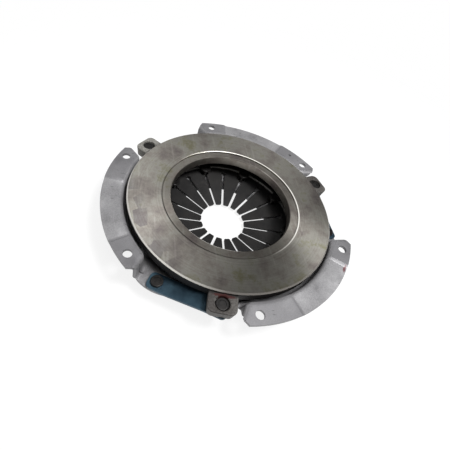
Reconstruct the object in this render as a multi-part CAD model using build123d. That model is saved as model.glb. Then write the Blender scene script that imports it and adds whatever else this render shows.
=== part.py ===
from build123d import *
import os
from math import asin, atan, cos, degrees, radians, sin, sqrt, tan

# Clutch cover assembly with its pressure plate, in the loose state in which it comes out of
# its box: the plate stands out of the cover as far as the spring and the straps let it.
# The origin is the centre of the flange mounting face, +Z points to the flywheel, and the
# window that holds one drive strap is centred on -Y. Lengths are in millimetres.

# ---- sectors: three flange segments, three windows with a strap and a plate lug each
SECTORS = 3
FIRST_WINDOW_ANGLE = -90.0
BOLT_ANGLE = 30.0            # each side of a window's axis

# ---- pressure plate
FACE_D = 204.0               # outside of the friction face
FACE_Z = 4.0                 # friction face above the mounting face when loose
FACE_INNER_D = 139.2         # inside of the friction face
FACE_STEP = 0.8
BORE_D = 122.8
BORE_CHAMFER = 0.7
RIM_CHAMFER = 1.2
PLATE_T = 11.0
PLATE_EDGE_R = 1.5
RIDGE_D = 174.0              # where the plate rests on the spring
RIDGE_W = 5.0
RIDGE_DRAFT = 8.0
RIDGE_GAP_COUNT = 9
RIDGE_GAP_W = 14.0
RIDGE_LOW = 8.0              # how far the wall in a gap stays above the spring

# ---- plate lugs
LUG_REACH = 8.0              # rivet centre outside the rim
LUG_END = 9.1                # rivet centre to the outer end
LUG_HALF_W = 12.8
LUG_DROP = 3.6               # lug top below the friction face
LUG_T = 10.5
LUG_CORNER_R = 6.0
LUG_TAPER = 7.0
LUG_EDGE_R = 1.2
COUNTERBORE_D = 12.8
COUNTERBORE_DEPTH = 4.0
COUNTERBORE_EDGE = 0.7

# ---- drive straps
LEAVES = 3
LEAF_T = 0.8
STRAP_W = 16.0
STRAP_SPAN = 56.8            # between the two rivets
STRAP_END = 7.8              # rivet centre to strap end
STRAP_CORNER_R = 4.5
STRAP_RISE = 5.0             # plate end above cover end when loose
STRAP_CLAMPED = 11.0         # flat length on each side, from the rivet centre inwards
STRAP_BEND_R = 45.0

# ---- diaphragm spring
FINGERS = 18
TIP_D = 48.2
TIP_Z = -32.9                # top edge of the finger tips
CONE_ANGLE = 10.7
SPRING_T = 2.3
SPRING_LAND = 3.0            # beyond the ridge circle
SLOT_W = 2.7
PLAIN_HOLE_D = 5.4
PLAIN_HOLE_INSET = 2.5       # plain slot holes inside the rivet circle
RIVET_SLOT_CLEARANCE = 1.1
TIP_CORNER_R = 1.1

# ---- fulcrum: two wire rings held by shouldered rivets
FULCRUM_D = 145.4
WIRE_D = 3.4
FULCRUM_RIVETS = 9
FIRST_RIVET_ANGLE = 10.0
SHOULDER_D = 6.9
SHANK_D = 6.0
FULCRUM_HEAD_D = 12.6
FULCRUM_HEAD_T = 2.2
FULCRUM_TAIL_D = 9.2
FULCRUM_TAIL_T = 2.3

# ---- strap rivets
STRAP_RIVET_D = 6.6
STRAP_HEAD_D = 11.2
STRAP_HEAD_T = 2.6
STRAP_TAIL_D = 10.0
STRAP_TAIL_T = 2.3
HEAD_DISH_D = 7.4
HEAD_DISH_DEPTH = 0.5
HEAD_EDGE_R = 0.7

# ---- cover pressing
SHEET = 2.8
PAD_RISE = 1.2
RIM_GAP = 3.3                # rim of the plate to the cover wall
FLANGE_LAND = 12.1           # cover wall to bolt circle
BOLT_EDGE = 8.4              # bolt circle to flange edge
BOLT_HOLE_D = 8.2
BEND_R = 4.5                 # flange to wall, on the upper skin
KNEE_Z = -12.0
WALL_DRAFT = 5.0
KNEE_R = 12.0
TOE_LAND = 1.6               # floor beyond the spring
TOE_R = 9.0
TAIL_LAND = 0.3              # flat floor inside the fulcrum rivets' tails
LIP_BEND_R = 4.5
LIP_ANGLE = 50.0
LIP_Z = -38.6
WINDOW_HALF_W = 46.0
WINDOW_CORNER_R = 8.0
POCKET_R = 3.0
LEDGE_NOSE_R = 40.0
LEDGE_LAND = 8.0             # strap rivet to the outside of the ledge
TAB_END = 18.0               # strap rivet to the end of the ledge tab
TAB_CORNER_R = 5.0
LUG_GAP_RIM = 0.5            # ledge left standing round the wall in the lug gap
LIP_EDGE_SLOPE = 0.81        # of the trimmed lip beside a lug, outwards over upwards
FLANGE_CORNER = 8.0          # along the window axis
WIDE_PAD_ANGLE = 16.7        # bolt to the far end of the pad on the lug side
NARROW_PAD_ANGLE = 7.5       # the same on the strap side
JOGGLE_W = 3.5               # length of the ramp between a pad and the flange
PILOT_HOLE_D = 3.5
PILOT_ANGLE = 9.5            # from the bolt beside it
VENT_COUNT = 9
VENT_D = 11.0
VENT_CIRCLE_D = 164.0

# ---- fits
WIRE_FIT = 0.05              # wire rings to their seats
RIVET_FIT = 0.1              # rivet shanks in holes of their own side
MOVING_FIT = 0.3             # shanks of the plate's rivets in the strap leaves
RIDGE_FIT = 0.25             # plate ridge above the spring

# ---- tooling
OVERCUT = 8.0                # how far tools reach past the sheet they form or cut
JOIN_MARGIN = 0.8            # walls above the joint with the raised pads, below the bend

# ---- derived places
RIM_R = FACE_D / 2 + RIM_CHAMFER
WALL_R = RIM_R + RIM_GAP
BOLT_R = WALL_R + FLANGE_LAND
FLANGE_R = BOLT_R + BOLT_EDGE
STRAP_RIVET_R = RIM_R + LUG_REACH
STRAP_X = sqrt(STRAP_RIVET_R**2 - (STRAP_SPAN / 2) ** 2)
LUG_ANGLE = degrees(asin(STRAP_SPAN / 2 / STRAP_RIVET_R))
LUG_TOP = FACE_Z - LUG_DROP
LUG_BOTTOM = LUG_TOP - LUG_T
PACK_T = LEAVES * LEAF_T
LEDGE_Z = LUG_BOTTOM - PACK_T - STRAP_RISE
PLATE_BACK = FACE_Z - PLATE_T
SPRING_R = RIDGE_D / 2 + SPRING_LAND
SPRING_H = SPRING_T / cos(radians(CONE_ANGLE))
FULCRUM_RIVET_R = FULCRUM_D / 2 - WIRE_D / 2 - WIRE_FIT - SHOULDER_D / 2
RING_RISE = (WIRE_D / 2 + WIRE_FIT) / cos(radians(CONE_ANGLE))


def cone_top(radius):
    """Height of the spring's upper side."""
    return TIP_Z + (radius - TIP_D / 2) * tan(radians(CONE_ANGLE))


UPPER_RING_Z = cone_top(FULCRUM_D / 2) + RING_RISE
LOWER_RING_Z = cone_top(FULCRUM_D / 2) - SPRING_H - RING_RISE
FLOOR_Z = LOWER_RING_Z - WIRE_D / 2 - WIRE_FIT
FULCRUM_HEAD_Z = UPPER_RING_Z + WIRE_D / 2 + WIRE_FIT

KNEE_X = WALL_R + (KNEE_Z + PAD_RISE) * tan(radians(WALL_DRAFT))
TOE_X = SPRING_R + TOE_LAND
LUG_GAP_R = KNEE_X + (TOE_X - KNEE_X) * (LEDGE_Z - KNEE_Z) / (FLOOR_Z - KNEE_Z) + LUG_GAP_RIM

BLANK_R = FLANGE_R + OVERCUT
TOOL_TOP = FACE_Z + OVERCUT
TOOL_BOTTOM = LIP_Z - OVERCUT
JOIN_Z = -PAD_RISE - BEND_R - JOIN_MARGIN


def window_axes():
    """Directions of the window axes, in degrees."""
    return [FIRST_WINDOW_ANGLE + i * 360 / SECTORS for i in range(SECTORS)]


def drum(radius, low, high):
    """A cylinder between two heights."""
    return Pos(0, 0, (low + high) / 2) * Cylinder(radius, high - low)


def block(x0, x1, y0, y1, z0, z1):
    """A box between three pairs of limits."""
    return Pos((x0 + x1) / 2, (y0 + y1) / 2, (z0 + z1) / 2) * Box(x1 - x0, y1 - y0, z1 - z0)


def prism(face, low, high):
    """A plan outline raised between two heights."""
    return extrude(Pos(0, 0, low) * face, high - low)


def ring_of(shape, count, radius, first=0.0):
    """Copies of a shape, spread evenly on a circle."""
    return [Rot(0, 0, first + i * 360 / count) * Pos(radius, 0, 0) * shape for i in range(count)]


# ---------------------------------------------------------------- cover


def wall_r(height):
    """Radius of the dish wall's upper skin."""
    return KNEE_X + (height - KNEE_Z) * tan(radians(WALL_DRAFT))


def dish_section(growth):
    """Half section of the solid that fills the pressing, grown by the sheet for its lower skin."""
    lip_x = FULCRUM_RIVET_R - FULCRUM_TAIL_D / 2 - TAIL_LAND - LIP_BEND_R * tan(radians(LIP_ANGLE / 2))
    lip_end = lip_x - (FLOOR_Z - TOOL_BOTTOM) * tan(radians(90 - LIP_ANGLE))
    outline = Polyline(
        (0, TOOL_TOP),
        (BLANK_R, TOOL_TOP),
        (BLANK_R, 0),
        (wall_r(0), 0),
        (KNEE_X, KNEE_Z),
        (TOE_X, FLOOR_Z),
        (lip_x, FLOOR_Z),
        (lip_end, TOOL_BOTTOM),
        (0, TOOL_BOTTOM),
        close=True,
    )
    face = make_face(outline)
    for x, z, radius in ((KNEE_X, KNEE_Z, KNEE_R), (TOE_X, FLOOR_Z, TOE_R), (lip_x, FLOOR_Z, LIP_BEND_R)):
        face = fillet(face.vertices().sort_by_distance((x, z, 0))[0], radius)
    if growth:
        face = offset(face, growth, kind=Kind.INTERSECTION)
        face &= Pos(BLANK_R / 2, (TOOL_TOP + TOOL_BOTTOM) / 2) * Rectangle(BLANK_R, TOOL_TOP - TOOL_BOTTOM)
    return face


def rim_edges(tool, height, reach):
    """Level edges of a tool at one height, inside a radius."""
    edges = tool.edges().filter_by(Plane.XY).filter_by_position(Axis.Z, height - 0.05, height + 0.05)
    return edges.filter_by(lambda edge: Vector(edge.center().X, edge.center().Y).length < reach)


def forming_tool(growth):
    """The punch (growth 0) or the die (growth SHEET) that the pressing is formed between."""
    half = WINDOW_HALF_W + growth
    ledge_z = LEDGE_Z - growth
    pocket = block(FULCRUM_D / 2, BLANK_R + OVERCUT, -half, half, ledge_z, TOOL_TOP)
    pocket = fillet(pocket.edges().filter_by(Axis.X).group_by(Axis.Z)[0], POCKET_R + growth)
    tool = revolve(Plane.XZ * dish_section(growth), Axis.Z)
    for axis in window_axes():
        tool += Rot(0, 0, axis) * pocket
    upright = tool.edges().filter_by(
        lambda edge: edge.bounding_box().min.Z > ledge_z - 0.05
        and edge.bounding_box().max.Z < -growth + 0.05
        and edge.bounding_box().size.Z > 0.5
        and Vector(edge.center().X, edge.center().Y).length < WALL_R + OVERCUT
    )
    tool = fillet(upright, WINDOW_CORNER_R - growth)
    return fillet(rim_edges(tool, -growth, BLANK_R - 1), BEND_R - growth)


def flange_section(level):
    """The sheet's section across the flange, its bend and the top of the wall."""
    back = SHEET / cos(radians(WALL_DRAFT))
    under = level - SHEET
    upper = FilletPolyline(
        (FLANGE_R, level), (wall_r(level), level), (wall_r(JOIN_Z), JOIN_Z), radius=BEND_R
    )
    lower = FilletPolyline(
        (FLANGE_R, under), (wall_r(under) + back, under), (wall_r(JOIN_Z) + back, JOIN_Z), radius=BEND_R - SHEET
    )
    ends = [Line(upper @ 0, lower @ 0), Line(upper @ 1, lower @ 1)]
    return make_face(upper.edges() + lower.edges() + ends)


def low_flange(first, last):
    """Flange between two raised pads, with a ramp up to the pad at each end."""
    ramp = degrees(JOGGLE_W / BOLT_R)
    low = Plane.XZ * flange_section(-PAD_RISE)
    high = Plane.XZ * flange_section(0)
    band = Rot(0, 0, first + ramp) * revolve(low, Axis.Z, last - first - 2 * ramp)
    for pad_end, flange_end in ((first, first + ramp), (last, last - ramp)):
        sections = [(Rot(0, 0, pad_end) * high).face(), (Rot(0, 0, flange_end) * low).face()]
        band += loft(sections, ruled=True)
    return band


def wedge(first, last):
    """Everything above the join level between two directions."""
    ray = 2 * BLANK_R
    corners = [(ray * cos(radians(a)), ray * sin(radians(a))) for a in (first, last)]
    return prism(make_face(Polyline((0, 0), *corners, close=True)), JOIN_Z, TOOL_TOP)


def window_cut():
    """What the blanking tool takes from one window, in plan: X along its axis, Y along the rim."""
    edge_x = WALL_R + BEND_R
    corner_y = WINDOW_HALF_W + FLANGE_CORNER
    corner_x = sqrt(FLANGE_R**2 - corner_y**2)
    reach = BLANK_R / FLANGE_CORNER
    far_y = WINDOW_HALF_W + reach * FLANGE_CORNER
    far_x = edge_x + reach * (corner_x - edge_x)
    outside = make_face(
        Polyline((edge_x, -WINDOW_HALF_W), (far_x, -far_y), (far_x, far_y), (edge_x, WINDOW_HALF_W), close=True)
    )
    tab_y = TAB_END - STRAP_SPAN / 2
    lug_gap_end = WINDOW_HALF_W - POCKET_R
    gap_middle = (tab_y + lug_gap_end) / 2
    lug_gap = Pos(BLANK_R, gap_middle) * Rectangle(BLANK_R, lug_gap_end - tab_y) - Circle(LUG_GAP_R)
    tab = Pos(STRAP_X + LEDGE_LAND - LEDGE_NOSE_R, -STRAP_SPAN / 2) * Circle(LEDGE_NOSE_R)
    tab &= Pos(BLANK_R, tab_y - BLANK_R) * Rectangle(BLANK_R, 2 * BLANK_R)
    tab = fillet(tab.vertices().sort_by_distance((edge_x, tab_y, 0))[0], TAB_CORNER_R)
    return (outside + lug_gap) - tab


def lip_cut():
    """What is taken off the lip beside a lug: all below a slanted edge and the lower half of the bend."""
    edge_x = WALL_R + BEND_R
    slant = make_face(
        Polyline(
            (edge_x, 0),
            (BLANK_R, 0),
            (BLANK_R, TOOL_BOTTOM),
            (edge_x + TOOL_BOTTOM * LIP_EDGE_SLOPE, TOOL_BOTTOM),
            close=True,
        )
    )
    half_bend = make_face(
        Polyline(
            (WINDOW_HALF_W - POCKET_R, 0),
            (WINDOW_HALF_W, 0),
            (WINDOW_HALF_W + BEND_R, -BEND_R),
            (WINDOW_HALF_W + BEND_R, TOOL_BOTTOM),
            (WINDOW_HALF_W - POCKET_R, TOOL_BOTTOM),
            close=True,
        )
    )
    slab = Pos(0, WINDOW_HALF_W + BEND_R, 0) * extrude(Plane.XZ * slant, BEND_R + POCKET_R)
    return slab & extrude(Plane.YZ * half_bend, BLANK_R)


def cover():
    """The drawn and pierced pressing that holds everything to the flywheel."""
    sheet = (forming_tool(SHEET) - forming_tool(0)) & drum(FLANGE_R, LIP_Z, TOOL_TOP)
    for axis in window_axes():
        first = axis + BOLT_ANGLE + WIDE_PAD_ANGLE
        last = axis + 360 / SECTORS - BOLT_ANGLE - NARROW_PAD_ANGLE
        sheet = sheet - wedge(first, last) + low_flange(first, last)
    window = prism(window_cut(), TOOL_BOTTOM, TOOL_TOP)
    bolt_hole = Pos(BOLT_R, 0, 0) * drum(BOLT_HOLE_D / 2, LEDGE_Z, TOOL_TOP)
    rivet_hole = Pos(STRAP_X, -STRAP_SPAN / 2, 0) * drum(STRAP_RIVET_D / 2 + RIVET_FIT, TOOL_BOTTOM, TOOL_TOP)
    for axis in window_axes():
        turn = Rot(0, 0, axis)
        sheet -= [turn * window, turn * lip_cut(), turn * rivet_hole]
        sheet -= [turn * Rot(0, 0, side * BOLT_ANGLE) * bolt_hole for side in (-1, 1)]
    pilot_turn = window_axes()[1] + BOLT_ANGLE + PILOT_ANGLE
    sheet -= Rot(0, 0, pilot_turn) * Pos(BOLT_R, 0, 0) * drum(PILOT_HOLE_D / 2, LEDGE_Z, TOOL_TOP)
    shank_hole = drum(SHANK_D / 2 + RIVET_FIT, TOOL_BOTTOM, LEDGE_Z)
    sheet -= ring_of(shank_hole, FULCRUM_RIVETS, FULCRUM_RIVET_R, FIRST_RIVET_ANGLE)
    vent = drum(VENT_D / 2, TOOL_BOTTOM, LEDGE_Z)
    sheet -= ring_of(vent, VENT_COUNT, VENT_CIRCLE_D / 2, FIRST_RIVET_ANGLE + 180 / VENT_COUNT)
    return sheet


# ---------------------------------------------------------------- pressure plate


def plate_ring():
    """The turned casting with its friction face and the ridge that rests on the spring."""
    bore_r = BORE_D / 2
    step_z = FACE_Z - FACE_STEP
    body = make_face(
        Polyline(
            (bore_r, PLATE_BACK),
            (bore_r, step_z),
            (FACE_INNER_D / 2, step_z),
            (FACE_INNER_D / 2, FACE_Z),
            (RIM_R, FACE_Z),
            (RIM_R, PLATE_BACK),
            close=True,
        )
    )
    corners = body.vertices()
    body = chamfer(corners.sort_by_distance((bore_r, step_z, 0))[0], BORE_CHAMFER)
    body = chamfer(body.vertices().sort_by_distance((RIM_R, FACE_Z, 0))[0], RIM_CHAMFER)
    for radius in (bore_r, RIM_R):
        body = fillet(body.vertices().sort_by_distance((radius, PLATE_BACK, 0))[0], PLATE_EDGE_R)
    return revolve(Plane.XZ * body, Axis.Z)


def spring_ridge(tip_lift):
    """The round-tipped ridge above the spring, or its lower web when lifted."""
    tip_r = RIDGE_W / 2
    ridge_r = RIDGE_D / 2
    centre_z = cone_top(ridge_r) + (tip_r + RIDGE_FIT) / cos(radians(CONE_ANGLE)) + tip_lift
    height = PLATE_BACK + PLATE_EDGE_R - centre_z
    root = tip_r + height * tan(radians(RIDGE_DRAFT))
    wall = make_face(
        Polyline(
            (ridge_r - tip_r, centre_z),
            (ridge_r + tip_r, centre_z),
            (ridge_r + root, centre_z + height),
            (ridge_r - root, centre_z + height),
            close=True,
        )
    )
    return revolve(Plane.XZ * (wall + Pos(ridge_r, centre_z) * Circle(tip_r)), Axis.Z)


def plate_lug():
    """One driving lug: the strap is riveted under it and the rivet's head sits in a counterbore."""
    start = (FACE_D + FACE_INNER_D) / 4
    end = STRAP_RIVET_R + LUG_END
    outline = Pos((start + end) / 2, 0) * Rectangle(end - start, 2 * LUG_HALF_W)
    outline = fillet(outline.vertices().group_by(Axis.X)[-1], LUG_CORNER_R)
    lug = extrude(Pos(0, 0, LUG_TOP) * outline, -LUG_T, taper=LUG_TAPER)
    top = lug.faces().sort_by(Axis.Z)[-1]
    outer = top.edges().filter_by(lambda edge: edge.center().X > start + 1)
    return fillet(outer, LUG_EDGE_R)


def pressure_plate():
    """Cast iron plate with its three lugs."""
    plate = plate_ring() + spring_ridge(0)
    notch_depth = 4 * RIDGE_W
    notch = block(-notch_depth, notch_depth, -RIDGE_GAP_W / 2, RIDGE_GAP_W / 2, TOOL_BOTTOM, PLATE_BACK)
    plate -= ring_of(notch, RIDGE_GAP_COUNT, RIDGE_D / 2, FIRST_RIVET_ANGLE)
    plate += spring_ridge(RIDGE_LOW)
    recess = drum(COUNTERBORE_D / 2, LUG_TOP - COUNTERBORE_DEPTH, TOOL_TOP)
    mouth = Pos(0, 0, LUG_TOP) * Cone(COUNTERBORE_D / 2, COUNTERBORE_D / 2 + 2 * COUNTERBORE_EDGE, 2 * COUNTERBORE_EDGE)
    rivet_hole = drum(STRAP_RIVET_D / 2 + RIVET_FIT, TOOL_BOTTOM, TOOL_TOP)
    for axis in window_axes():
        turn = Rot(0, 0, axis + LUG_ANGLE)
        plate += turn * plate_lug()
        plate -= [turn * Pos(STRAP_RIVET_R, 0, 0) * tool for tool in (recess, mouth, rivet_hole)]
    return plate


# ---------------------------------------------------------------- diaphragm spring and its fulcrum


def spring_outline():
    """The spring from above: a ring cut by slots that end in round holes, every other one round a rivet."""
    tip_r = TIP_D / 2
    disc = Circle(SPRING_R) - Circle(tip_r)
    rivet_hole = Circle(SHOULDER_D / 2 + RIVET_SLOT_CLEARANCE)
    plain_r = FULCRUM_RIVET_R - PLAIN_HOLE_INSET
    inside = tip_r / 2
    for i in range(FINGERS):
        turn = Rot(0, 0, FIRST_RIVET_ANGLE + i * 360 / FINGERS)
        hole_r = FULCRUM_RIVET_R if i % 2 == 0 else plain_r
        hole = rivet_hole if i % 2 == 0 else Circle(PLAIN_HOLE_D / 2)
        slot = Pos((inside + hole_r) / 2, 0) * Rectangle(hole_r - inside, SLOT_W)
        disc -= turn * (slot + Pos(hole_r, 0) * hole)
    tips = disc.vertices().filter_by(lambda vertex: Vector(vertex.X, vertex.Y).length < tip_r + SLOT_W)
    return fillet(tips, TIP_CORNER_R)


def diaphragm_spring():
    """Slotted conical spring, raised from its outline between two cones."""
    outer_z = cone_top(SPRING_R)
    section = make_face(
        Polyline(
            (0, cone_top(0)),
            (SPRING_R, outer_z),
            (SPRING_R, outer_z - SPRING_H),
            (0, cone_top(0) - SPRING_H),
            close=True,
        )
    )
    cone = revolve(Plane.XZ * section, Axis.Z)
    return cone & prism(spring_outline(), TOOL_BOTTOM, LEDGE_Z)


def fulcrum_ring(height):
    """Round wire ring that the spring tilts on."""
    return Pos(0, 0, height) * Torus(FULCRUM_D / 2, WIRE_D / 2)


def rivet_head(diameter, thickness):
    """Pressed head standing on Z = 0, with a rounded edge and a shallow dish."""
    head = drum(diameter / 2, 0, thickness)
    head = fillet(head.edges().sort_by(Axis.Z)[-1], HEAD_EDGE_R)
    dish = Pos(0, 0, thickness) * Cone(HEAD_DISH_D / 2 - HEAD_DISH_DEPTH, HEAD_DISH_D / 2, 2 * HEAD_DISH_DEPTH)
    return head - dish


def rivet(head_d, head_t, tail_d, tail_t, shank_d, grip):
    """Set rivet with its head seated on Z = 0 and its tail formed below the grip."""
    tail = fillet(drum(tail_d / 2, -grip - tail_t, -grip).edges().sort_by(Axis.Z)[0], HEAD_EDGE_R)
    return rivet_head(head_d, head_t) + drum(shank_d / 2, -grip, 0) + tail


def fulcrum_rivet():
    """Shouldered rivet: the head holds the upper ring and the shoulder stands on the cover's floor."""
    shoulder = drum(SHOULDER_D / 2, FLOOR_Z, FULCRUM_HEAD_Z)
    grip = FULCRUM_HEAD_Z - FLOOR_Z + SHEET
    body = rivet(FULCRUM_HEAD_D, FULCRUM_HEAD_T, FULCRUM_TAIL_D, FULCRUM_TAIL_T, SHANK_D, grip)
    return Pos(0, 0, FULCRUM_HEAD_Z) * body + shoulder


# ---------------------------------------------------------------- drive straps


def strap_leaf(window, leaf):
    """One spring steel leaf, stepped up to the lug; leaf 0 is the top one."""
    end = STRAP_SPAN / 2 + STRAP_END
    bend = STRAP_SPAN / 2 - STRAP_CLAMPED
    top = LUG_BOTTOM - leaf * LEAF_T
    low = top - STRAP_RISE
    upper = FilletPolyline((-end, low), (-bend, low), (bend, top), (end, top), radius=STRAP_BEND_R)
    lower = Pos(0, -LEAF_T) * upper
    ends = [Line(upper @ 0, lower @ 0), Line(upper @ 1, lower @ 1)]
    section = make_face(upper.edges() + lower.edges() + ends)
    strap = Pos(STRAP_X + STRAP_W / 2, 0, 0) * extrude(Plane.YZ * section, -STRAP_W)
    strap = fillet(strap.edges().filter_by(Axis.Z), STRAP_CORNER_R)
    strap -= Pos(STRAP_X, -STRAP_SPAN / 2, 0) * drum(STRAP_RIVET_D / 2 + RIVET_FIT, TOOL_BOTTOM, 0)
    strap -= Pos(STRAP_X, STRAP_SPAN / 2, 0) * drum(STRAP_RIVET_D / 2 + MOVING_FIT, TOOL_BOTTOM, 0)
    return Rot(0, 0, window_axes()[window]) * strap


def cover_strap_rivet(window):
    """Rivet through the three leaves and the ledge of the cover."""
    body = rivet(STRAP_HEAD_D, STRAP_HEAD_T, STRAP_TAIL_D, STRAP_TAIL_T, STRAP_RIVET_D, PACK_T + SHEET)
    seat = LEDGE_Z + PACK_T
    return Rot(0, 0, window_axes()[window]) * Pos(STRAP_X, -STRAP_SPAN / 2, seat) * body


def plate_strap_rivet(window):
    """Rivet through the lug and the three leaves under it."""
    grip = LUG_T - COUNTERBORE_DEPTH + PACK_T
    body = rivet(STRAP_HEAD_D, STRAP_HEAD_T, STRAP_TAIL_D, STRAP_TAIL_T, STRAP_RIVET_D, grip)
    seat = LUG_TOP - COUNTERBORE_DEPTH
    return Rot(0, 0, window_axes()[window]) * Pos(STRAP_X, STRAP_SPAN / 2, seat) * body


# ---------------------------------------------------------------- nodes

nodes = {
    "cover": cover(),
    "pressure_plate": pressure_plate(),
    "diaphragm_spring": diaphragm_spring(),
    "fulcrum_ring_upper": fulcrum_ring(UPPER_RING_Z),
    "fulcrum_ring_lower": fulcrum_ring(LOWER_RING_Z),
    "fulcrum_rivets": Compound(ring_of(fulcrum_rivet(), FULCRUM_RIVETS, FULCRUM_RIVET_R, FIRST_RIVET_ANGLE)),
}
for window in range(SECTORS):
    for leaf in range(LEAVES):
        nodes[f"drive_strap_{window + 1}_leaf_{leaf + 1}"] = strap_leaf(window, leaf)
    nodes[f"cover_strap_rivet_{window + 1}"] = cover_strap_rivet(window)
    nodes[f"plate_strap_rivet_{window + 1}"] = plate_strap_rivet(window)

os.makedirs("parts", exist_ok=True)
for name, shape in nodes.items():
    export_step(shape, f"parts/{name}.step")
    print(name, len(shape.solids()), round(shape.volume, 1))
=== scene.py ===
# %% [markdown]
# # A diaphragm clutch cover, loose, friction face up
# The imported model already holds every rigid piece at its real size and place. This script gives
# those pieces their metals, makes the spring and the strap leaves again in finer pieces, and sets up
# the camera and the light. Lengths are in metres, as in the imported model, and small sizes are
# written in millimetres times MM.

# %% Load the frame
from math import asin, cos, pi, radians, sin, sqrt, tan

import bmesh
import bpy
from mathutils import Matrix, Vector


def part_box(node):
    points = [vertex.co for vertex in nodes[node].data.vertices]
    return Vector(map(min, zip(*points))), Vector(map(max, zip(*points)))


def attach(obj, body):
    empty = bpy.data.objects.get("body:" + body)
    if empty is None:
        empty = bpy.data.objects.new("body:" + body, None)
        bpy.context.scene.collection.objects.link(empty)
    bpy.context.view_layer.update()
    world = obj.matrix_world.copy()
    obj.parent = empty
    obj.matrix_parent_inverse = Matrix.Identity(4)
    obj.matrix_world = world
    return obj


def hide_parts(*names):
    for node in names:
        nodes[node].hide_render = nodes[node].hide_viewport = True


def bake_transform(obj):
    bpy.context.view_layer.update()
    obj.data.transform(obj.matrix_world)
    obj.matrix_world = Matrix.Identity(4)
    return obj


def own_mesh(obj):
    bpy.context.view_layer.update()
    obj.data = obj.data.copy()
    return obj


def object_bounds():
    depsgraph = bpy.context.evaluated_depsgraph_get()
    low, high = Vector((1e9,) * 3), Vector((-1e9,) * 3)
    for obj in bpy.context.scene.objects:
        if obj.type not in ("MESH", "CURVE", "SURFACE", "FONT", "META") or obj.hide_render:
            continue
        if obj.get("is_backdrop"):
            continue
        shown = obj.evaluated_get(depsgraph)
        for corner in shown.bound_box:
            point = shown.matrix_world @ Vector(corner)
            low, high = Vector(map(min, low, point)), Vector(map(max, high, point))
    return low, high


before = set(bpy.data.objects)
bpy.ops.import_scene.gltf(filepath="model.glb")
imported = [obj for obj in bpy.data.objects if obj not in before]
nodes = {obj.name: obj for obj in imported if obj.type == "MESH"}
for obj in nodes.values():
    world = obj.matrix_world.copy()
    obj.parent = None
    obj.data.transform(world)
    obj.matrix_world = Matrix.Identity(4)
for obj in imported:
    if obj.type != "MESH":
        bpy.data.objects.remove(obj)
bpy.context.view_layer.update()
MM = 0.001

# %% [markdown]
# ## Camera
# The camera stands close, about a third of a metre from the middle of the part, so the near side
# looks larger than the far side. A constraint could aim it, but the part also stands askew in the
# view, so heading, tilt and roll are turned in that order from a camera that looks straight down.
# The sideways shift is small: the middle of the view is a little off the lens axis.

# %% Place the camera
CAMERA_PLACE_MM = (6.295, -225.086, 228.027)
CAMERA_HEADING = 8.1105      # the three turns are in degrees
CAMERA_TILT = 38.4346
CAMERA_ROLL = 17.5616
LENS_MM = 25.1135
SENSOR_MM = 36.0
SHIFT_X = 0.0626             # as a share of the view's width
CLIP_NEAR, CLIP_FAR = 0.01, 20.0

camera_data = bpy.data.cameras.new("camera")
camera_data.lens = LENS_MM
camera_data.sensor_width = SENSOR_MM
camera_data.shift_x = SHIFT_X
camera_data.clip_start = CLIP_NEAR
camera_data.clip_end = CLIP_FAR
camera = bpy.data.objects.new("camera", camera_data)
camera.matrix_world = (
    Matrix.Translation(Vector(CAMERA_PLACE_MM) * MM)
    @ Matrix.Rotation(radians(CAMERA_HEADING), 4, "Z")
    @ Matrix.Rotation(radians(CAMERA_TILT), 4, "X")
    @ Matrix.Rotation(radians(CAMERA_ROLL), 4, "Z")
)
bpy.context.scene.collection.objects.link(camera)
bpy.context.scene.camera = camera
print("Camera stands", round(camera.matrix_world.translation.length / MM), "mm from the origin")

# %% [markdown]
# ## Helpers for materials
# Colours are written as they would be picked on a screen, in sRGB, and Blender shades in linear
# light, so one function converts them. Another adds a shader node with its settings and links, so
# that a chain of nodes reads from top to bottom. The nodes could be wired by hand in the editor,
# but a script can be read through, changed and run again.

# %% Colour and node helpers
def linear(hex_colour):
    """An sRGB colour such as "#7d7a72" as linear red, green, blue and alpha."""
    channels = [int(hex_colour[i:i + 2], 16) / 255 for i in (1, 3, 5)]
    return [c / 12.92 if c <= 0.04045 else ((c + 0.055) / 1.055) ** 2.4 for c in channels] + [1.0]


def connect(tree, node, inputs):
    """Sets inputs, by name or number, to a value, a node (its first working output) or an output."""
    for key, value in inputs.items():
        if isinstance(value, bpy.types.Node):
            value = next(output for output in value.outputs if output.enabled)
        if isinstance(value, bpy.types.NodeSocket):
            tree.links.new(value, node.inputs[key])
        else:
            node.inputs[key].default_value = value


def add(tree, kind, inputs, stops=(), **settings):
    """Adds a node with its settings, its inputs and, for a colour ramp, its stops."""
    node = tree.nodes.new(kind)
    for name, value in settings.items():
        setattr(node, name, value)
    connect(tree, node, inputs)
    if stops:
        while len(node.color_ramp.elements) < len(stops):
            node.color_ramp.elements.new(0.5)   # its real position is set next
        for element, (position, colour) in zip(node.color_ramp.elements, stops):
            element.position = position
            element.color = linear(colour)
    return node


print("Linear mid grey:", [round(c, 3) for c in linear("#808080")])

# %% [markdown]
# ## Floor and backdrop
# The part lies on a big white sheet of paper. More light would make the sheet white, but would wash
# the metal out too. So rays from the camera, mirror rays and clear rays see it as plain white, with
# a little real shading left in near the part, which keeps a soft shadow and fades out before it
# could draw a horizon. Every other ray meets ordinary matt paper, so the sheet sends natural light
# back up to the metal.

# %% Sheet under the part
SHEET_HALF = 3.0             # half the side of the sheet
SHEET_GAP = 0.02 * MM        # keeps the sheet just under the part

# With this view a colour shows as it is written, and full white is plain white.
bpy.context.scene.view_settings.view_transform = "Standard"

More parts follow.
